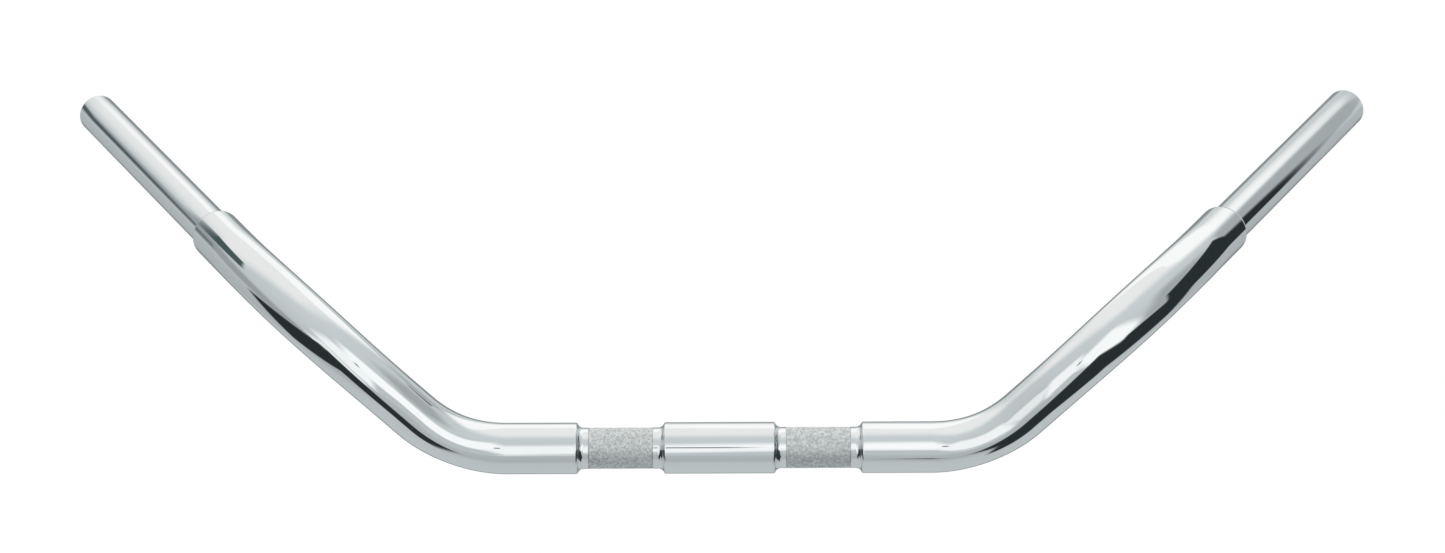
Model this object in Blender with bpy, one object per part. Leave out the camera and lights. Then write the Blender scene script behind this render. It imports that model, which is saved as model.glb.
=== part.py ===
"""Motorcycle handlebar: large bent tubes stepped down to 1 in at the riser clamps and at the grips.

The bar is welded up from telescoping tubes, dressed smooth at every step and plated. A straight
clamp tube runs through a short centre sleeve and into both arms, leaving two bare zones for the
riser clamps. Each arm bends up and then back to the rider, and a grip tube is let into its end.
The frame has its origin on the clamp tube's axis halfway between the risers, +X towards the
rider's left hand, +Y back towards the rider and +Z up. Lengths are in metres, angles in degrees.
"""

import math

import bmesh
import bpy
from mathutils import Matrix, Vector

# Tubes
CLAMP_DIAMETER = 0.0254
GRIP_DIAMETER = 0.0254
CLAMP_TUBE_WALL = 0.0024
GRIP_TUBE_WALL = 0.0024
ARM_WALL = 0.002875
FIT_GAP = 0.0003

# Centre section, as lengths along the clamp tube
SLEEVE_LENGTH = 0.076
CLAMP_ZONE = 0.046
CLAMP_WELD_LENGTH = 0.005

# Arms, whose bends start a short run past the tubes let into them
CLAMP_INSERT = 0.038
GRIP_INSERT = 0.024
INSERT_RUNOUT = 0.004
RISE_ANGLE = 45.0
RISE_BEND_RADIUS = 0.080
RISE_STRAIGHT = 0.018
PULLBACK_BEND_RADIUS = 0.124
PULLBACK_ANGLE = 62.5
BEND_FLATTENING = 0.040
BEND_SPREAD = 0.045

# Grips
GRIP_LENGTH = 0.218
GRIP_END_ROUNDING = 0.0015

# Ogee of the grip welds: the slope where its nose meets its fillet, and the fillet's radius
OGEE_SLOPE = 73.0
OGEE_FILLET = 0.0012

# Edges of the weld rings
WELD_TOE = 0.0003
WELD_EDGE_ROUNDING = 0.0006

# Facets
RING_POINTS = 24
BEND_STEP = 6.0
ARC_STEPS = 4

# Values that follow
CLAMP_RADIUS = CLAMP_DIAMETER / 2
GRIP_RADIUS = GRIP_DIAMETER / 2
CLAMP_FIT_RADIUS = CLAMP_RADIUS + FIT_GAP
GRIP_FIT_RADIUS = GRIP_RADIUS + FIT_GAP
ARM_RADIUS = max(CLAMP_FIT_RADIUS, GRIP_FIT_RADIUS) + ARM_WALL
SLEEVE_END = SLEEVE_LENGTH / 2 - CLAMP_WELD_LENGTH
ARM_WELD_TIP = SLEEVE_LENGTH / 2 + CLAMP_ZONE
ARM_START = ARM_WELD_TIP + CLAMP_WELD_LENGTH
CLAMP_TUBE_END = ARM_START + CLAMP_INSERT

ALONG = Vector((1, 0, 0))
BACK = Vector((0, 1, 0))
UP = Vector((0, 0, 1))
SIDES = {"left": 1, "right": -1}


class Section:
    """A cross-section of a tube: its centre, the way the tube runs there and how oval it is.

    plane_normal is the normal of the bend's plane and ovality goes from 0 in a straight tube to 1
    where a bend is most flattened.
    """

    def __init__(self, centre, direction, plane_normal=None, ovality=0.0):
        self.centre = centre
        self.direction = direction
        self.plane_normal = plane_normal
        self.ovality = ovality

    def ring(self, radius):
        """Points around the section, starting from its highest one."""
        side = self.direction.cross(UP).normalized()
        top = side.cross(self.direction)
        points = []
        for step in range(RING_POINTS):
            angle = math.tau * step / RING_POINTS
            spoke = radius * (math.cos(angle) * top + math.sin(angle) * side)
            points.append(self.centre + self.flattened(spoke))
        return points

    def flattened(self, spoke):
        """The spoke, shortened in the bend's plane and lengthened across it."""
        if self.plane_normal is None:
            return spoke
        radial = self.plane_normal.cross(self.direction)
        in_plane = -BEND_FLATTENING * self.ovality * spoke.dot(radial)
        across = BEND_SPREAD * self.ovality * spoke.dot(self.plane_normal)
        return spoke + in_plane * radial + across * self.plane_normal


def straight_section(distance):
    """The section of a straight piece that runs along its own +X axis."""
    return Section(distance * ALONG, ALONG)


def run_straight(route, length):
    """Adds the end of a straight stretch to the route."""
    last = route[-1]
    route.append(Section(last.centre + length * last.direction, last.direction))


def run_bend(route, new_direction, radius):
    """Adds an arc that turns the route to new_direction, with the ovality rising to its middle."""
    start = route[-1]
    old_direction = start.direction
    angle = old_direction.angle(new_direction)
    normal = old_direction.cross(new_direction).normalized()
    inward = normal.cross(old_direction)
    steps = 2 * round(math.degrees(angle) / BEND_STEP / 2)
    for step in range(1, steps + 1):
        turned = angle * step / steps
        direction = math.cos(turned) * old_direction + math.sin(turned) * inward
        centre = start.centre + radius * (math.sin(turned) * old_direction + (1 - math.cos(turned)) * inward)
        ovality = math.sin(math.pi * step / steps) ** 2
        route.append(Section(centre, direction, normal, ovality))


def arm_route():
    """Sections of the left arm from its inner end to its shoulder, in the bar's own frame."""
    rise = math.radians(RISE_ANGLE)
    pullback = math.radians(PULLBACK_ANGLE)
    rising = math.cos(rise) * ALONG + math.sin(rise) * UP
    gripping = math.cos(pullback) * ALONG + math.sin(pullback) * BACK
    route = [Section(ARM_START * ALONG, ALONG)]
    run_straight(route, CLAMP_INSERT)
    run_straight(route, INSERT_RUNOUT)
    run_bend(route, rising, RISE_BEND_RADIUS)
    run_straight(route, RISE_STRAIGHT)
    run_bend(route, gripping, PULLBACK_BEND_RADIUS)
    run_straight(route, INSERT_RUNOUT)
    run_straight(route, GRIP_INSERT)
    return route


def mirrored(vector, side):
    """The vector on the given side of the bar."""
    return Vector((side * vector.x, vector.y, vector.z))


def ring_object(name, rings, origin, material):
    """A closed object through the given rings, whose last ring joins the first."""
    work = bmesh.new()
    loops = [[work.verts.new(point - origin) for point in ring] for ring in rings]
    for loop, following in zip(loops, loops[1:] + loops[:1]):
        for step in range(RING_POINTS):
            work.faces.new((loop[step - 1], loop[step], following[step], following[step - 1]))
    bmesh.ops.recalc_face_normals(work, faces=work.faces)
    mesh = bpy.data.meshes.new(name)
    work.to_mesh(mesh)
    work.free()
    mesh.shade_smooth()
    mesh.set_sharp_from_angle(angle=math.radians(30))
    mesh.materials.append(material)
    made = bpy.data.objects.new(name, mesh)
    made.location = origin
    bpy.context.scene.collection.objects.link(made)
    return made


def turned_object(name, profile, material):
    """A ring of revolution about its own +X axis from a closed profile of (distance, radius)."""
    rings = [straight_section(distance).ring(radius) for distance, radius in profile]
    return ring_object(name, rings, Vector((0, 0, 0)), material)


def aim(piece, origin, direction):
    """Places a turned piece with its own origin at origin and its own +X along direction."""
    side = UP.cross(direction).normalized()
    top = direction.cross(side)
    turn = Matrix((direction, side, top)).transposed()
    piece.matrix_world = Matrix.Translation(origin) @ turn.to_4x4()


def arc(centre, radius, start_degrees, end_degrees):
    """Profile points along an arc, angles measured from the axis direction towards the outside."""
    points = []
    for step in range(ARC_STEPS + 1):
        angle = math.radians(start_degrees + (end_degrees - start_degrees) * step / ARC_STEPS)
        points.append((centre[0] + radius * math.cos(angle), centre[1] + radius * math.sin(angle)))
    return points


def make_clamp_tube(material):
    """The straight tube under the sleeve and both riser clamps."""
    bore = CLAMP_RADIUS - CLAMP_TUBE_WALL
    profile = (
        (-CLAMP_TUBE_END, CLAMP_RADIUS),
        (CLAMP_TUBE_END, CLAMP_RADIUS),
        (CLAMP_TUBE_END, bore),
        (-CLAMP_TUBE_END, bore),
    )
    return turned_object("clamp_tube", profile, material)


def make_centre_sleeve(material):
    """The short large tube between the riser clamps."""
    profile = (
        (-SLEEVE_END, ARM_RADIUS),
        (SLEEVE_END, ARM_RADIUS),
        (SLEEVE_END, CLAMP_FIT_RADIUS),
        (-SLEEVE_END, CLAMP_FIT_RADIUS),
    )
    return turned_object("centre_sleeve", profile, material)


def make_clamp_weld(name, origin, direction, material):
    """A weld ring dressed to a cone, from a large tube's end face at origin down to the clamp tube."""
    profile = (
        (FIT_GAP, CLAMP_FIT_RADIUS),
        (FIT_GAP, ARM_RADIUS),
        (FIT_GAP + WELD_EDGE_ROUNDING, ARM_RADIUS - WELD_EDGE_ROUNDING / 4),
        (CLAMP_WELD_LENGTH, CLAMP_FIT_RADIUS + WELD_TOE),
        (CLAMP_WELD_LENGTH, CLAMP_FIT_RADIUS),
    )
    piece = turned_object(name, profile, material)
    aim(piece, origin, direction)
    return piece


def make_arm_tube(name, side, material):
    """The large tube that rises from the clamps and bends back to the grip."""
    route = arm_route()
    rings = [section.ring(ARM_RADIUS) for section in route]
    rings += [section.ring(GRIP_FIT_RADIUS) for section in reversed(route[-2:])]
    rings += [section.ring(CLAMP_FIT_RADIUS) for section in reversed(route[:-2])]
    rings = [[mirrored(point, side) for point in ring] for ring in rings]
    return ring_object(name, rings, mirrored(route[0].centre, side), material)


def make_grip_weld(name, origin, direction, material):
    """A weld ring dressed to an ogee, from the arm's end face at origin down to the grip tube."""
    toe_radius = GRIP_FIT_RADIUS + WELD_TOE
    slope = math.radians(OGEE_SLOPE)
    both_radii = (ARM_RADIUS - toe_radius) / (1 - math.cos(slope))
    nose_radius = both_radii - OGEE_FILLET
    toe_end = FIT_GAP + both_radii * math.sin(slope)
    nose = arc((FIT_GAP, ARM_RADIUS - nose_radius), nose_radius, 90, 90 - OGEE_SLOPE)
    fillet = arc((toe_end, toe_radius + OGEE_FILLET), OGEE_FILLET, 270 - OGEE_SLOPE, 270)
    profile = [(FIT_GAP, GRIP_FIT_RADIUS)] + nose + fillet[1:] + [(toe_end, GRIP_FIT_RADIUS)]
    piece = turned_object(name, profile, material)
    aim(piece, origin, direction)
    return piece


def make_grip_tube(name, shoulder, direction, material):
    """The tube that carries a grip, with its origin at the arm's shoulder and a rounded open end."""
    bore = GRIP_RADIUS - GRIP_TUBE_WALL
    rounding_centre = (GRIP_LENGTH - GRIP_END_ROUNDING, GRIP_RADIUS - GRIP_END_ROUNDING)
    profile = [(-GRIP_INSERT, GRIP_RADIUS)]
    profile += arc(rounding_centre, GRIP_END_ROUNDING, 90, 0)
    profile += [(GRIP_LENGTH, bore), (-GRIP_INSERT, bore)]
    piece = turned_object(name, profile, material)
    aim(piece, shoulder, direction)
    return piece


def plated_steel(name, shade, roughness):
    """A plated metal."""
    material = bpy.data.materials.new(name)
    material.use_nodes = True
    surface = material.node_tree.nodes["Principled BSDF"]
    surface.inputs["Base Color"].default_value = (*shade, 1)
    surface.inputs["Metallic"].default_value = 1.0
    surface.inputs["Roughness"].default_value = roughness
    return material


def main():
    for old in list(bpy.data.objects):
        bpy.data.objects.remove(old, do_unlink=True)
    tube_chrome = plated_steel("tube_chrome", (0.80, 0.82, 0.83), 0.06)
    clamp_chrome = plated_steel("clamp_chrome", (0.72, 0.73, 0.74), 0.35)
    weld_chrome = plated_steel("weld_chrome", (0.80, 0.82, 0.83), 0.12)

    pieces = [make_clamp_tube(clamp_chrome), make_centre_sleeve(tube_chrome)]
    shoulder = arm_route()[-1]
    for name, side in SIDES.items():
        outward = side * ALONG
        end = mirrored(shoulder.centre, side)
        gripping = mirrored(shoulder.direction, side)
        pieces += [
            make_clamp_weld(f"sleeve_weld_{name}", SLEEVE_END * outward, outward, weld_chrome),
            make_clamp_weld(f"arm_weld_{name}", ARM_START * outward, -outward, weld_chrome),
            make_arm_tube(f"arm_tube_{name}", side, tube_chrome),
            make_grip_weld(f"grip_weld_{name}", end, gripping, weld_chrome),
            make_grip_tube(f"grip_tube_{name}", end, gripping, tube_chrome),
        ]

    handlebar = bpy.data.objects.new("handlebar", None)
    bpy.context.scene.collection.objects.link(handlebar)
    for piece in pieces:
        piece.parent = handlebar


main()
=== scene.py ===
import math

import bpy
import numpy as np
from mathutils import Matrix, Vector


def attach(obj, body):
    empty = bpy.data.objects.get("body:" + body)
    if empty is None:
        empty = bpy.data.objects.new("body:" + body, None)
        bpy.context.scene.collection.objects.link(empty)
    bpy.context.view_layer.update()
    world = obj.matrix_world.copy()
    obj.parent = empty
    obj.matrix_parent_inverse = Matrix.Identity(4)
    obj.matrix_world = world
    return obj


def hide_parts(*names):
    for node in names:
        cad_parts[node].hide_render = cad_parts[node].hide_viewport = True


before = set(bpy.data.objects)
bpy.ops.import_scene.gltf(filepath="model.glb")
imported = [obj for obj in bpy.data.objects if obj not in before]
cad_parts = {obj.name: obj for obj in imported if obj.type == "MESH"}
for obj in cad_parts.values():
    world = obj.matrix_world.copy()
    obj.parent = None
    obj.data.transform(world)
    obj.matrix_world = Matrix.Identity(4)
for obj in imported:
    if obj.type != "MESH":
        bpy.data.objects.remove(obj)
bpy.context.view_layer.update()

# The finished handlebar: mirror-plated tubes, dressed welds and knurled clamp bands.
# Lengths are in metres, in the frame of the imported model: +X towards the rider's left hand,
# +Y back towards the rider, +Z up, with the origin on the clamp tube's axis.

# Tubes
LARGE_RADIUS = 0.03175 / 2
SMALL_RADIUS = 0.0254 / 2
SMALL_BORE = SMALL_RADIUS - 0.0024
FIT_GAP = 0.0003
LARGE_BORE = SMALL_RADIUS + FIT_GAP

# Centre section
SLEEVE_LENGTH = 0.076
CLAMP_ZONE = 0.046
WELD_LENGTH = 0.005
SLEEVE_END = SLEEVE_LENGTH / 2 - WELD_LENGTH
ARM_START = SLEEVE_LENGTH / 2 + CLAMP_ZONE + WELD_LENGTH
CLAMP_INSERT = 0.038
CLAMP_TUBE_END = ARM_START + CLAMP_INSERT

# Arm
INNER_STRAIGHT = CLAMP_INSERT + 0.004
RISE_ANGLE = math.radians(45.0)
RISE_RADIUS = 0.080
RISE_STRAIGHT = 0.018
PULLBACK_RADIUS = 0.124
PULLBACK_ANGLE = math.radians(62.5)
OUTER_STRAIGHT = 0.028
BEND_FLATTENING = 0.040
BEND_SPREAD = 0.045

# Grip
GRIP_LENGTH = 0.218
LIP_CLEARANCE = 0.00002
GRIP_INSERT = 0.024
END_ROUNDING = 0.0015
BORE_ROUNDING = 0.0004

# Knurling
KNURL_LENGTH = 0.040
KNURL_STARTS = 58
KNURL_DEPTH = 0.00022
KNURL_SEAT = SMALL_RADIUS - 0.0006
KNURL_HELIX = math.radians(38.0)
KNURL_FADE = 0.0006
KNURL_STATIONS = 177

# Dressed welds
WELD_LEAD = 0.0002
CLAMP_WELD_NOSE = 0.0012
CLAMP_WELD_BORE = SMALL_BORE + 0.002
GRIP_WELD_SLOPE = math.radians(73.0)
GRIP_WELD_FILLET = 0.0012
GRIP_WELD_BORE = SMALL_RADIUS - 0.0004

# Mesh fineness: points round a tube, steps in an arc and rings in the first bend
AROUND = 192
ARC_STEPS = 10
BEND_RINGS = 110

# Studio: the point that the cards face, and the tints of white, grey and black card
STUDIO_CENTRE = np.array([0.0, 0.05, 0.05])
WARM = (0.985, 1.0, 0.99)
NEUTRAL = (0.97, 1.0, 1.0)
COOL = (0.92, 1.0, 1.02)
INKY = (0.72, 1.0, 1.06)

# What the plating mirrors beyond the cards, from straight down to straight up: height and tone
SURROUNDINGS = (
    (-90, 0.58),
    (-45, 0.56),
    (-32, 0.47),
    (-10, 0.51),
    (0, 0.66),
    (8, 0.68),
    (16, 0.58),
    (90, 0.68),
)

ALONG = np.array([1.0, 0.0, 0.0])
BACK = np.array([0.0, 1.0, 0.0])
UP = np.array([0.0, 0.0, 1.0])
RISING = math.cos(RISE_ANGLE) * ALONG + math.sin(RISE_ANGLE) * UP
GRIPPING = math.cos(PULLBACK_ANGLE) * ALONG + math.sin(PULLBACK_ANGLE) * BACK
TURN_BACK = math.acos(float(RISING @ GRIPPING))
SIDES = {"left": 1, "right": -1}


# ---------------------------------------------------------------- centre line

def arm_length():
    """Length of the arm's centre line: three straights and two arcs."""
    arcs = RISE_RADIUS * RISE_ANGLE + PULLBACK_RADIUS * TURN_BACK
    return INNER_STRAIGHT + RISE_STRAIGHT + OUTER_STRAIGHT + arcs


def arm_line(distance):
    """Centre, direction, bend normal and ovality of the left arm at distances along its centre line.

    Each straight adds its covered length times its direction. Each arc of radius r, turned by an
    angle a from direction d towards the inward normal n, adds r (sin a d + (1 - cos a) n), and the
    direction there is cos a d + sin a n. The ovality is sin squared of pi times the turned share.
    """
    distance = np.asarray(distance, float)
    rise_arc = RISE_RADIUS * RISE_ANGLE
    back_arc = PULLBACK_RADIUS * TURN_BACK
    rise_start = INNER_STRAIGHT
    back_start = rise_start + rise_arc + RISE_STRAIGHT
    out_start = back_start + back_arc
    risen = np.clip(distance - rise_start, 0, rise_arc) / RISE_RADIUS
    turned = np.clip(distance - back_start, 0, back_arc) / PULLBACK_RADIUS
    back_inward = GRIPPING - (GRIPPING @ RISING) * RISING
    back_inward = back_inward / np.linalg.norm(back_inward)

    def covered(start, length):
        return np.clip(distance - start, 0, length)[:, None]

    centre = ARM_START * ALONG + covered(0, INNER_STRAIGHT) * ALONG
    centre = centre + RISE_RADIUS * (np.sin(risen)[:, None] * ALONG + (1 - np.cos(risen))[:, None] * UP)
    centre = centre + covered(rise_start + rise_arc, RISE_STRAIGHT) * RISING
    centre = centre + PULLBACK_RADIUS * (
        np.sin(turned)[:, None] * RISING + (1 - np.cos(turned))[:, None] * back_inward
    )
    centre = centre + covered(out_start, OUTER_STRAIGHT) * GRIPPING
    rising_part = np.cos(risen)[:, None] * ALONG + np.sin(risen)[:, None] * UP
    back_part = np.cos(turned)[:, None] * RISING + np.sin(turned)[:, None] * back_inward
    in_back = (distance > back_start)[:, None]
    direction = np.where(in_back, back_part, rising_part)
    normal = np.where(in_back, np.cross(RISING, back_inward), np.cross(ALONG, UP))
    ovality = np.sin(np.pi * risen / RISE_ANGLE) ** 2 + np.sin(np.pi * turned / TURN_BACK) ** 2
    return centre, direction, normal, ovality


# ---------------------------------------------------------------- surfaces

def ring_frames(direction):
    """Unit vectors across each direction: one level to the side, and one as near to up as it allows."""
    side = np.cross(direction, UP)
    side = side / np.linalg.norm(side, axis=1)[:, None]
    top = np.cross(side, direction)
    return side, top


def ring_grid(centre, direction, radius, around):
    """Points of circles about a line: centre + radius (cos a top + sin a side) for a once around.

    radius is one value per ring, or a grid of one value per point.
    """
    side, top = ring_frames(direction)
    angle = 2 * np.pi * np.arange(around) / around
    radius = np.asarray(radius, float)
    if radius.ndim == 1:
        radius = radius[:, None]
    spoke = np.cos(angle)[None, :, None] * top[:, None] + np.sin(angle)[None, :, None] * side[:, None]
    return centre[:, None] + radius[..., None] * spoke


def closed_ring_mesh(name, points, material, side=1):
    """A mesh over a grid of points that wraps both ways: around each ring, and last ring to first.

    Each face takes the ring's point k and k + 1 and the same two of the next ring. A piece on the
    right is the mirror image in X, with its faces turned round so that they still point outwards.
    """
    rings, around = points.shape[:2]
    points = points * np.array([side, 1, 1])
    first = np.arange(rings)[:, None] * around
    second = np.roll(first, -1, axis=0)
    here = np.arange(around)[None, :]
    there = np.roll(here, -1, axis=1)
    quads = np.stack([first + here, second + here, second + there, first + there], axis=-1).reshape(-1, 4)
    if side < 0:
        quads = quads[:, ::-1]
    mesh = bpy.data.meshes.new(name)
    mesh.vertices.add(rings * around)
    mesh.vertices.foreach_set("co", points.reshape(-1).astype(np.float32))
    mesh.loops.add(quads.size)
    mesh.loops.foreach_set("vertex_index", quads.reshape(-1).astype(np.int32))
    mesh.polygons.add(len(quads))
    mesh.polygons.foreach_set("loop_start", np.arange(0, quads.size, 4, dtype=np.int32))
    mesh.update(calc_edges=True)
    mesh.validate()
    if signed_volume(points, quads) < 0:
        mesh.flip_normals()
    mesh.shade_smooth()
    mesh.set_sharp_from_angle(angle=math.radians(32))
    mesh.materials.append(material)
    piece = bpy.data.objects.new(name, mesh)
    bpy.context.scene.collection.objects.link(piece)
    return piece


def signed_volume(points, quads):
    """Six times the volume inside the quads: the sum of triple products of each quad's two triangles."""
    corner = points.reshape(-1, 3)[quads]
    first = np.einsum("ij,ij->i", corner[:, 0], np.cross(corner[:, 1], corner[:, 2]))
    second = np.einsum("ij,ij->i", corner[:, 0], np.cross(corner[:, 2], corner[:, 3]))
    return float((first + second).sum())


def arc(centre, radius, start, end, steps=ARC_STEPS):
    """Points (distance, radius) of an arc in a profile, from angle start to end in degrees."""
    angle = np.radians(np.linspace(start, end, steps + 1))
    return np.stack([centre[0] + radius * np.cos(angle), centre[1] + radius * np.sin(angle)], axis=1)


def turned_piece(name, profile, origin, direction, material, side=1, around=AROUND):
    """A ring of revolution: each (distance, radius) of the closed profile gives one circle."""
    profile = np.asarray(profile, float)
    direction = np.asarray(direction, float)
    centre = origin + profile[:, :1] * direction
    directions = np.repeat(direction[None], len(profile), axis=0)
    return closed_ring_mesh(name, ring_grid(centre, directions, profile[:, 1], around), material, side)


# ---------------------------------------------------------------- materials

def new_material(name):
    """An empty node material with its Principled shader."""
    material = bpy.data.materials.new(name)
    material.use_nodes = True
    return material, material.node_tree, material.node_tree.nodes["Principled BSDF"]


def add_node(tree, kind, settings=None, **values):
    """A node with its settings, and with values on the input sockets of those names."""
    node = tree.nodes.new(kind)
    for key, value in (settings or {}).items():
        setattr(node, key, value)
    for key, value in values.items():
        node.inputs[key.replace("_", " ")].default_value = value
    return node


def noise_on_object(tree, scale, stretch=(1, 1, 1), detail=3.0, roughness=0.55):
    """Noise over Object coordinates, drawn out by the stretch along each axis."""
    place = add_node(tree, "ShaderNodeTexCoord")
    mapping = add_node(tree, "ShaderNodeMapping", Scale=stretch)
    noise = add_node(tree, "ShaderNodeTexNoise", Scale=scale, Detail=detail, Roughness=roughness)
    tree.links.new(place.outputs["Object"], mapping.inputs["Vector"])
    tree.links.new(mapping.outputs["Vector"], noise.inputs["Vector"])
    return noise.outputs["Fac"]


def ramp(tree, source, low, high, low_at=0.35, high_at=0.65):
    """A colour ramp between two colours over part of the source's range."""
    node = add_node(tree, "ShaderNodeValToRGB")
    node.color_ramp.elements[0].position = low_at
    node.color_ramp.elements[0].color = (*low, 1)
    node.color_ramp.elements[1].position = high_at
    node.color_ramp.elements[1].color = (*high, 1)
    tree.links.new(source, node.inputs["Fac"])
    return node.outputs["Color"]


def spread(tree, source, low, high):
    """The source's middle range stretched to run from low to high."""
    node = add_node(tree, "ShaderNodeMapRange")
    node.inputs["From Min"].default_value = 0.3
    node.inputs["From Max"].default_value = 0.7
    node.inputs["To Min"].default_value = low
    node.inputs["To Max"].default_value = high
    tree.links.new(source, node.inputs["Value"])
    return node.outputs["Result"]


def bump(tree, height, distance, strength):
    """A bump of the given height in metres."""
    node = add_node(tree, "ShaderNodeBump", Distance=distance, Strength=strength)
    tree.links.new(height, node.inputs["Height"])
    return node.outputs["Normal"]


def mirror_plating():
    """Bright chromium: a slightly cool tint, a trace of haze and the faint swell left by buffing."""
    material, tree, shader = new_material("mirror_plating")
    shader.inputs["Metallic"].default_value = 1.0
    tint = ramp(tree, noise_on_object(tree, 14.0), (0.875, 0.885, 0.885), (0.90, 0.905, 0.905))
    haze = spread(tree, noise_on_object(tree, 60.0, detail=6.0), 0.015, 0.040)
    swell = bump(tree, noise_on_object(tree, 30.0, detail=1.0), 0.00004, 0.25)
    tree.links.new(tint, shader.inputs["Base Color"])
    tree.links.new(haze, shader.inputs["Roughness"])
    tree.links.new(swell, shader.inputs["Normal"])
    return material


def dressed_weld_plating():
    """Chromium over a weld ring filed and buffed by hand: a little more haze and a shallow ripple."""
    material, tree, shader = new_material("dressed_weld_plating")
    shader.inputs["Metallic"].default_value = 1.0
    tint = ramp(tree, noise_on_object(tree, 90.0), (0.87, 0.88, 0.88), (0.90, 0.905, 0.905))
    haze = spread(tree, noise_on_object(tree, 240.0, detail=4.0), 0.10, 0.17)
    ripple = bump(tree, noise_on_object(tree, 150.0, detail=2.0), 0.00006, 0.35)
    tree.links.new(tint, shader.inputs["Base Color"])
    tree.links.new(haze, shader.inputs["Roughness"])
    tree.links.new(ripple, shader.inputs["Normal"])
    return material


def knurl_plating():
    """Thin chromium over rolled diamonds, matt all over: painted shade darkens the grooves and a painted
    highlight brightens the diamond tops, with a fine uneven sparkle.
    """
    material, tree, shader = new_material("knurl_plating")
    shader.inputs["Metallic"].default_value = 1.0
    height = add_node(tree, "ShaderNodeAttribute", {"attribute_name": "knurl_height"})
    # painted shade and highlight: the base colour follows the knurl's height, dark down in the grooves
    # and bright on the diamond tops
    painted_relief_shade = ramp(tree, height.outputs["Fac"], (0.56, 0.58, 0.58), (0.95, 0.955, 0.95), 0.05, 0.8)
    speckle = noise_on_object(tree, 700.0, detail=2.0)
    sparkle = ramp(tree, speckle, (0.66, 0.66, 0.66), (1.0, 1.0, 1.0), 0.38, 0.62)
    tint = add_node(tree, "ShaderNodeMix", {"data_type": "RGBA", "blend_type": "MULTIPLY"})
    tint.inputs["Factor"].default_value = 1.0
    tree.links.new(painted_relief_shade, tint.inputs[6])
    tree.links.new(sparkle, tint.inputs[7])
    haze = spread(tree, noise_on_object(tree, 420.0, detail=4.0), 0.36, 0.52)
    grain = bump(tree, noise_on_object(tree, 2600.0, detail=2.0), 0.00003, 0.5)
    tree.links.new(tint.outputs[2], shader.inputs["Base Color"])
    tree.links.new(haze, shader.inputs["Roughness"])
    tree.links.new(grain, shader.inputs["Normal"])
    return material


def bore_steel():
    """Unplated steel inside a tube: dull grey with drawn streaks and a trace of oil-brown."""
    material, tree, shader = new_material("bore_steel")
    shader.inputs["Metallic"].default_value = 0.85
    tint = ramp(tree, noise_on_object(tree, 45.0, detail=5.0), (0.16, 0.15, 0.14), (0.34, 0.34, 0.34))
    haze = spread(tree, noise_on_object(tree, 160.0, detail=5.0), 0.38, 0.62)
    drawn = bump(tree, noise_on_object(tree, 700.0, (1, 0.2, 1), 3.0), 0.00005, 0.4)
    tree.links.new(tint, shader.inputs["Base Color"])
    tree.links.new(haze, shader.inputs["Roughness"])
    tree.links.new(drawn, shader.inputs["Normal"])
    return material


# ---------------------------------------------------------------- pieces

def flattened(grid, centre, direction, normal, ovality):
    """The rings made oval: each spoke loses a share in the bend's plane and gains one across it."""
    radial = np.cross(normal, direction)
    spoke = grid - centre[:, None]
    in_plane = (-BEND_FLATTENING * ovality[:, None] * np.einsum("rai,ri->ra", spoke, radial))[..., None]
    across = (BEND_SPREAD * ovality[:, None] * np.einsum("rai,ri->ra", spoke, normal))[..., None]
    return grid + in_plane * radial[:, None] + across * normal[:, None]


def arm_stations(bend_rings, straight_rings):
    """Distances along the arm's centre line, close together in the bends."""
    rise_start = INNER_STRAIGHT
    rise_end = rise_start + RISE_RADIUS * RISE_ANGLE
    back_start = rise_end + RISE_STRAIGHT
    back_end = back_start + PULLBACK_RADIUS * TURN_BACK
    stretches = (
        np.linspace(0, rise_start, straight_rings),
        np.linspace(rise_start, rise_end, bend_rings),
        np.linspace(rise_end, back_start, straight_rings),
        np.linspace(back_start, back_end, 2 * bend_rings),
        np.linspace(back_end, arm_length(), straight_rings),
    )
    return np.unique(np.round(np.concatenate(stretches), 9))


def arm_rings(distance, radius):
    """Oval rings of the given radius about the arm's centre line."""
    centre, direction, normal, ovality = arm_line(distance)
    grid = ring_grid(centre, direction, np.full(len(distance), radius), AROUND)
    return flattened(grid, centre, direction, normal, ovality)


def make_arm(name, side, plating):
    """Outer surface out to the shoulder, then the bore back to the inner end."""
    outside = arm_rings(arm_stations(BEND_RINGS, 12), LARGE_RADIUS)
    inside = arm_rings(arm_stations(BEND_RINGS // 6, 3)[::-1], LARGE_BORE)
    return closed_ring_mesh(name, np.concatenate([outside, inside]), plating, side)


def make_sleeve(plating):
    """The large tube between the riser clamps."""
    outside = np.linspace(-SLEEVE_END, SLEEVE_END, 9)
    profile = [(x, LARGE_RADIUS) for x in outside] + [(SLEEVE_END, LARGE_BORE), (-SLEEVE_END, LARGE_BORE)]
    return turned_piece("centre_sleeve_plated", profile, np.zeros(3), ALONG, plating)


def make_clamp_tube(plating):
    """The small through tube, with a shallow seat turned into it under each knurled band."""
    band_in = SLEEVE_LENGTH / 2 + CLAMP_ZONE / 2 - KNURL_LENGTH / 2
    band_out = band_in + KNURL_LENGTH
    right_half = [
        (band_in, SMALL_RADIUS),
        (band_in, KNURL_SEAT),
        (band_out, KNURL_SEAT),
        (band_out, SMALL_RADIUS),
        (CLAMP_TUBE_END, SMALL_RADIUS),
        (CLAMP_TUBE_END, SMALL_BORE),
    ]
    left_half = [(-x, radius) for x, radius in right_half[::-1]]
    return turned_piece("clamp_tube_plated", left_half + right_half, np.zeros(3), ALONG, plating)


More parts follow.
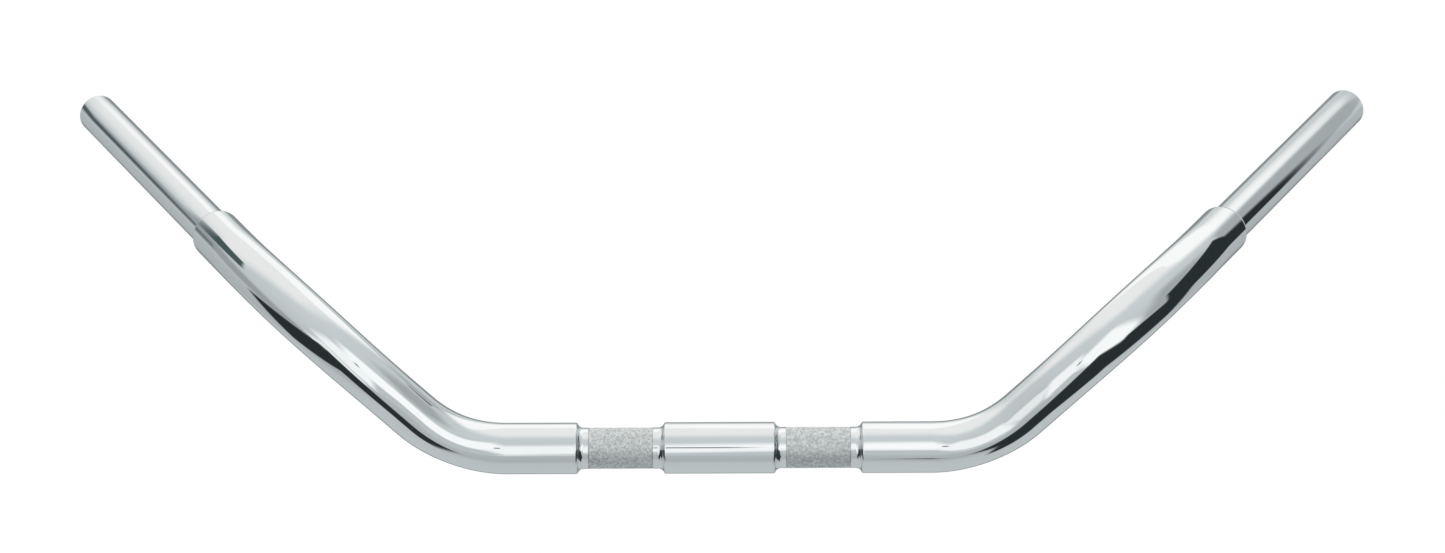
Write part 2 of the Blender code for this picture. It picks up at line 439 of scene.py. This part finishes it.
def make_knurl_band(name, side, plating):
    """A band of raised diamonds.

    Two families of V grooves wind round it at plus and minus the helix angle. Each family's height
    is a triangle wave of starts times the angle, plus or minus the distance over the axial pitch.
    The height is the smaller of the two, cut off flat at the top, and fades out at the band's ends.
    """
    axial_pitch = 2 * np.pi * SMALL_RADIUS / KNURL_STARTS / math.tan(KNURL_HELIX)
    centre_x = SLEEVE_LENGTH / 2 + CLAMP_ZONE / 2
    along = np.linspace(-KNURL_LENGTH / 2, KNURL_LENGTH / 2, KNURL_STATIONS)
    around = 4 * KNURL_STARTS
    turn = np.arange(around) / around
    wind = KNURL_STARTS * turn[None, :]
    climb = along[:, None] / axial_pitch

    def ridge(phase):
        return 1 - 2 * np.abs(phase - np.floor(phase) - 0.5)

    diamonds = np.minimum(ridge(wind + climb), ridge(wind - climb))
    height = np.clip(1.5 * diamonds, 0, 1)
    edge = np.clip((KNURL_LENGTH / 2 - np.abs(along)) / KNURL_FADE, 0, 1)[:, None]
    height = height * edge
    radius = SMALL_RADIUS - KNURL_DEPTH * (1 - height)
    distance = centre_x + along
    ends = np.array([distance[-1], distance[0]])
    centre = np.concatenate([distance, ends])[:, None] * ALONG
    direction = np.repeat(ALONG[None], len(centre), axis=0)
    radius = np.concatenate([radius, np.full((2, around), KNURL_SEAT)])
    piece = closed_ring_mesh(name, ring_grid(centre, direction, radius, around), plating, side)
    values = np.concatenate([height, np.zeros((2, around))]).reshape(-1).astype(np.float32)
    attribute = piece.data.attributes.new("knurl_height", "FLOAT", "POINT")
    attribute.data.foreach_set("value", values)
    return piece


def weld_slope(drop, length, nose):
    """Outer profile of a dressed clamp weld: a small round nose, then one hollow fillet.

    Both arcs turn through the same angle and meet there in a common tangent. That angle is twice
    the angle of the line from the profile's start to its end, and the two radii together are the
    drop over 1 - cos of it.
    """
    turn = 2 * math.atan2(drop, length)
    fillet = drop / (1 - math.cos(turn)) - nose
    degrees = math.degrees(turn)
    shoulder = arc((0, -nose), nose, 90, 90 - degrees)
    foot = arc((length, -drop + fillet), fillet, 270 - degrees, 270, 2 * ARC_STEPS)
    return np.concatenate([shoulder, foot[1:]])


def make_clamp_weld(name, end_x, inward, side, plating):
    """The dressed weld from a large tube's end down to the clamp tube."""
    outer = weld_slope(LARGE_RADIUS - SMALL_RADIUS, WELD_LENGTH - WELD_LEAD, CLAMP_WELD_NOSE)
    outer = outer + np.array([WELD_LEAD, LARGE_RADIUS])
    inner = [(WELD_LENGTH, CLAMP_WELD_BORE), (0, CLAMP_WELD_BORE)]
    profile = np.concatenate([[(0, LARGE_RADIUS)], outer, inner])
    return turned_piece(name, profile, end_x * ALONG, inward * ALONG, plating, side)


def make_grip_weld(name, side, plating):
    """The dressed ogee from the arm's shoulder down to the grip tube: a nose, then a small fillet.

    Both arcs turn through the slope's angle, so their radii together are the drop over 1 - cos of it.
    """
    both = (LARGE_RADIUS - SMALL_RADIUS) / (1 - math.cos(GRIP_WELD_SLOPE))
    nose = both - GRIP_WELD_FILLET
    foot = WELD_LEAD + both * math.sin(GRIP_WELD_SLOPE)
    degrees = math.degrees(GRIP_WELD_SLOPE)
    outer = np.concatenate([
        arc((WELD_LEAD, LARGE_RADIUS - nose), nose, 90, 90 - degrees),
        arc((foot, SMALL_RADIUS + GRIP_WELD_FILLET), GRIP_WELD_FILLET, 270 - degrees, 270)[1:],
    ])
    inner = [(foot, GRIP_WELD_BORE), (0, GRIP_WELD_BORE)]
    profile = np.concatenate([[(0, LARGE_RADIUS)], outer, inner])
    shoulder = arm_line([arm_length()])[0][0]
    return turned_piece(name, profile, shoulder, GRIPPING, plating, side)


def make_grip_tube(name, side, plating, steel):
    """The tube under the hand, open at its rounded end, with unplated steel inside."""
    end = GRIP_LENGTH - LIP_CLEARANCE
    outside = [(x, SMALL_RADIUS) for x in np.linspace(-GRIP_INSERT, end - END_ROUNDING, 12)]
    lip = arc((end - END_ROUNDING, SMALL_RADIUS - END_ROUNDING), END_ROUNDING, 90, 0)[1:]
    inner_lip = arc((end - BORE_ROUNDING, SMALL_BORE + BORE_ROUNDING), BORE_ROUNDING, 0, -90, 4)
    profile = np.concatenate([outside, lip, inner_lip, [(-GRIP_INSERT, SMALL_BORE)]])
    shoulder = arm_line([arm_length()])[0][0]
    piece = turned_piece(name, profile, shoulder, GRIPPING, plating, side)
    piece.data.materials.append(steel)
    rings = len(profile)
    slots = np.zeros((rings, AROUND), np.int32)
    slots[rings - 2] = 1
    piece.data.polygons.foreach_set("material_index", slots.reshape(-1))
    return piece


# ---------------------------------------------------------------- assembly

def build_handlebar():
    """Every finished piece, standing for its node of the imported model."""
    plating = mirror_plating()
    weld_plating = dressed_weld_plating()
    band_plating = knurl_plating()
    steel = bore_steel()
    stands_for = [
        (make_clamp_tube(plating), "clamp_tube", "knurled_chrome"),
        (make_sleeve(plating), "centre_sleeve", "tube_chrome"),
    ]
    for word, side in SIDES.items():
        band = make_knurl_band(f"knurl_band_{word}", side, band_plating)
        sleeve_weld = make_clamp_weld(f"sleeve_weld_{word}_plated", SLEEVE_END, 1, side, weld_plating)
        arm_weld = make_clamp_weld(f"arm_weld_{word}_plated", ARM_START, -1, side, weld_plating)
        arm = make_arm(f"arm_{word}_plated", side, plating)
        grip_weld = make_grip_weld(f"grip_weld_{word}_plated", side, weld_plating)
        grip_tube = make_grip_tube(f"grip_tube_{word}_plated", side, plating, steel)
        stands_for += [
            (band, "clamp_tube", "knurled_chrome"),
            (sleeve_weld, f"sleeve_weld_{word}", "weld_chrome"),
            (arm_weld, f"arm_weld_{word}", "weld_chrome"),
            (arm, f"arm_tube_{word}", "tube_chrome"),
            (grip_weld, f"grip_weld_{word}", "weld_chrome"),
            (grip_tube, f"grip_tube_{word}", "tube_chrome"),
        ]
    for piece, node, slot in stands_for:
        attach(piece, "root")
        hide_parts(node)


def place_camera():
    """A long lens in front of the bar and above it, aimed at the middle of its box."""
    aim = Vector((0.0022, 0.0457, 0.0955))
    distance = 2.780
    elevation = math.radians(25.58)
    azimuth = math.radians(0.48)
    roll = math.radians(-0.44)
    away = Vector((
        -math.sin(azimuth) * math.cos(elevation),
        math.cos(azimuth) * math.cos(elevation),
        -math.sin(elevation),
    ))
    turn = (-away).to_track_quat("Z", "Y").to_matrix() @ Matrix.Rotation(roll, 3, "Z")
    data = bpy.data.cameras.new("camera")
    data.lens = 112.04
    data.sensor_width = 36.0
    camera = bpy.data.objects.new("camera", data)
    camera.matrix_world = Matrix.Translation(aim - distance * away) @ turn.to_4x4()
    bpy.context.scene.collection.objects.link(camera)
    bpy.context.scene.camera = camera


# ---------------------------------------------------------------- studio

def plain_plane(name, corners, coordinates):
    """A four-cornered sheet with the given coordinates at its corners, marked as part of the studio."""
    mesh = bpy.data.meshes.new(name)
    mesh.from_pydata([tuple(corner) for corner in corners], [], [(0, 1, 2, 3)])
    layer = mesh.uv_layers.new(name="spread")
    layer.data.foreach_set("uv", np.asarray(coordinates, np.float32).reshape(-1))
    sheet = bpy.data.objects.new(name, mesh)
    bpy.context.scene.collection.objects.link(sheet)
    return sheet


def add_floor():
    """A plain pale floor, far enough below the bar to carry no visible shadow of it."""
    level = -0.7
    reach = 14.0
    quarters = [(-1, -1), (1, -1), (1, 1), (-1, 1)]
    floor = plain_plane("floor", [(u * reach, v * reach, level) for u, v in quarters], quarters)
    material, tree, shader = new_material("pale_floor")
    tint = ramp(tree, noise_on_object(tree, 0.6), (0.90, 0.90, 0.90), (0.91, 0.91, 0.91))
    shader.inputs["Roughness"].default_value = 1.0
    shader.inputs["Specular IOR Level"].default_value = 0.0
    tree.links.new(tint, shader.inputs["Base Color"])
    floor.data.materials.append(material)
    floor.visible_glossy = False


def feathered_glow(name, colour, feather):
    """Light of one colour that fades to nothing across the sheet's edge by a smooth step."""
    material = bpy.data.materials.new(name)
    material.use_nodes = True
    tree = material.node_tree
    tree.nodes.clear()
    place = add_node(tree, "ShaderNodeTexCoord")
    parts = add_node(tree, "ShaderNodeSeparateXYZ")
    tree.links.new(place.outputs["UV"], parts.inputs["Vector"])
    fades = []
    for axis in ("X", "Y"):
        size = add_node(tree, "ShaderNodeMath", {"operation": "ABSOLUTE"})
        fade = add_node(tree, "ShaderNodeMapRange", {"interpolation_type": "SMOOTHSTEP"})
        fade.inputs["From Min"].default_value = 1 + feather / 2
        fade.inputs["From Max"].default_value = 1 - feather / 2
        tree.links.new(parts.outputs[axis], size.inputs[0])
        tree.links.new(size.outputs[0], fade.inputs["Value"])
        fades.append(fade.outputs["Result"])
    both = add_node(tree, "ShaderNodeMath", {"operation": "MULTIPLY"})
    clear = add_node(tree, "ShaderNodeBsdfTransparent")
    glow = add_node(tree, "ShaderNodeEmission", Color=(*colour, 1))
    mix = add_node(tree, "ShaderNodeMixShader")
    output = add_node(tree, "ShaderNodeOutputMaterial")
    tree.links.new(fades[0], both.inputs[0])
    tree.links.new(fades[1], both.inputs[1])
    tree.links.new(both.outputs[0], mix.inputs["Fac"])
    tree.links.new(clear.outputs[0], mix.inputs[1])
    tree.links.new(glow.outputs[0], mix.inputs[2])
    tree.links.new(mix.outputs[0], output.inputs["Surface"])
    return material


def add_card(name, bearing, height, distance, width, depth, tilt, feather, tone, tint):
    """A sheet that faces the bar and shows only in its reflections: a softbox, a grey or a black flag.

    bearing runs from straight in front towards the rider's left and height up from level, in
    degrees. width and depth are half sizes in metres, and tilt turns the sheet in its own plane.
    feather is the share of a half size over which the edge fades, and the light is tone times tint.
    """
    colour = tuple(tone * share for share in tint)
    bearing, height, tilt = (math.radians(angle) for angle in (bearing, height, tilt))
    facing = np.array([
        math.sin(bearing) * math.cos(height),
        -math.cos(bearing) * math.cos(height),
        math.sin(height),
    ])
    level = np.array([math.cos(bearing), math.sin(bearing), 0.0])
    rising = np.cross(facing, level)
    across = math.cos(tilt) * level + math.sin(tilt) * rising
    upward = math.cos(tilt) * rising - math.sin(tilt) * level
    edge = 1 + feather / 2
    shares = [(-edge, -edge), (edge, -edge), (edge, edge), (-edge, edge)]
    centre = STUDIO_CENTRE + distance * facing
    corners = [centre + u * width * across + v * depth * upward for u, v in shares]
    card = plain_plane(name, corners, shares)
    card.data.materials.append(feathered_glow(name, colour, feather))
    card.visible_camera = False
    card.visible_diffuse = False
    card.visible_transmission = False
    card.visible_shadow = False


def studio_world():
    """Pale surroundings: banded by height where the plating mirrors them, plain white everywhere else."""
    world = bpy.data.worlds.new("studio")
    bpy.context.scene.world = world
    world.use_nodes = True
    tree = world.node_tree
    tree.nodes.clear()
    place = add_node(tree, "ShaderNodeTexCoord")
    parts = add_node(tree, "ShaderNodeSeparateXYZ")
    share = add_node(tree, "ShaderNodeMapRange")
    share.inputs["From Min"].default_value = -1.0
    bands = add_node(tree, "ShaderNodeValToRGB")
    stops = bands.color_ramp.elements
    for height, _ in SURROUNDINGS[1:-1]:
        stops.new((1 + math.sin(math.radians(height))) / 2)
    for stop, (_, tone) in zip(stops, SURROUNDINGS):
        stop.color = (*(tone * share for share in COOL), 1)
    mirrored = add_node(tree, "ShaderNodeBackground")
    plain = add_node(tree, "ShaderNodeBackground", Color=(1, 1, 1, 1), Strength=1.12)
    path = add_node(tree, "ShaderNodeLightPath")
    mix = add_node(tree, "ShaderNodeMixShader")
    output = add_node(tree, "ShaderNodeOutputWorld")
    tree.links.new(place.outputs["Generated"], parts.inputs["Vector"])
    tree.links.new(parts.outputs["Z"], share.inputs["Value"])
    tree.links.new(share.outputs["Result"], bands.inputs["Fac"])
    tree.links.new(bands.outputs["Color"], mirrored.inputs["Color"])
    tree.links.new(path.outputs["Is Glossy Ray"], mix.inputs["Fac"])
    tree.links.new(plain.outputs["Background"], mix.inputs[1])
    tree.links.new(mirrored.outputs["Background"], mix.inputs[2])
    tree.links.new(mix.outputs["Shader"], output.inputs["Surface"])


def add_softboxes():
    """The lights: two behind the bar, which its tops mirror, and three over and beside the camera."""
    add_card("back_left_softbox", -160, 55, 2.0, 1.60, 1.60, 30, 1.0, 0.90, WARM)
    add_card("back_right_softbox", 175, 45, 2.0, 1.15, 0.80, -15, 0.6, 1.05, WARM)
    add_card("front_softbox", 22, 23, 3.5, 1.80, 1.05, -45, 0.6, 1.05, NEUTRAL)
    add_card("front_softbox_left", -12, 18, 2.5, 0.55, 1.00, 35, 0.6, 1.00, NEUTRAL)
    add_card("front_softbox_low", -33, 0, 3.5, 0.80, 1.10, 30, 0.4, 0.90, NEUTRAL)


def add_greys():
    """Grey cards: the room's sides, and a backdrop that gives every tube its thin grey outline."""
    add_card("backdrop", 180, -25, 2.5, 1.60, 1.40, 0, 0.6, 0.28, COOL)
    add_card("grey_right", 75, 23, 2.0, 0.70, 0.80, -20, 1.0, 0.42, COOL)
    add_card("grey_right_back", 120, 12, 2.0, 0.70, 0.25, 60, 0.6, 0.44, COOL)
    add_card("grey_left", -90, 7, 2.5, 3.30, 0.40, 0, 1.0, 0.37, COOL)
    add_card("camera_gap", 13, -3, 2.0, 0.60, 0.33, -30, 0.5, 0.57, COOL)


def add_flags():
    """Black cards low on both sides, which the arms mirror as their dark bands."""
    add_card("black_right_high", 95, 8, 1.5, 0.65, 0.55, 10, 0.15, 0.03, INKY)
    add_card("black_right_low", 70, -13, 2.0, 0.90, 0.80, 5, 0.25, 0.03, INKY)
    add_card("black_right_front", 35, -17, 1.2, 0.40, 0.50, -25, 0.25, 0.03, INKY)
    add_card("black_right_foot", 40, -30, 1.2, 0.35, 0.40, 30, 0.25, 0.03, INKY)
    add_card("black_left_low", -60, -11, 2.0, 1.05, 0.50, 18, 0.25, 0.03, INKY)
    add_card("black_left_front", -35, -16, 1.2, 0.50, 0.25, -55, 0.25, 0.03, INKY)


def add_strips():
    """Narrow dark cards, mirrored by the left shoulder, the left grip and the centre sleeve."""
    add_card("shoulder_strip", -105, 22, 0.8, 0.17, 0.075, 25, 0.3, 0.10, INKY)
    add_card("grip_strip", -124, 6, 2.0, 0.30, 0.11, -30, 1.2, 0.11, INKY)
    add_card("sleeve_strip", -1.5, 26.5, 2.0, 0.06, 0.08, 0, 0.9, 0.22, COOL)


def add_studio():
    """The floor, the surroundings and the cards round the bar."""
    bpy.context.scene.view_settings.view_transform = "Standard"
    add_floor()
    studio_world()
    add_softboxes()
    add_greys()
    add_flags()
    add_strips()


place_camera()
add_studio()
build_handlebar()
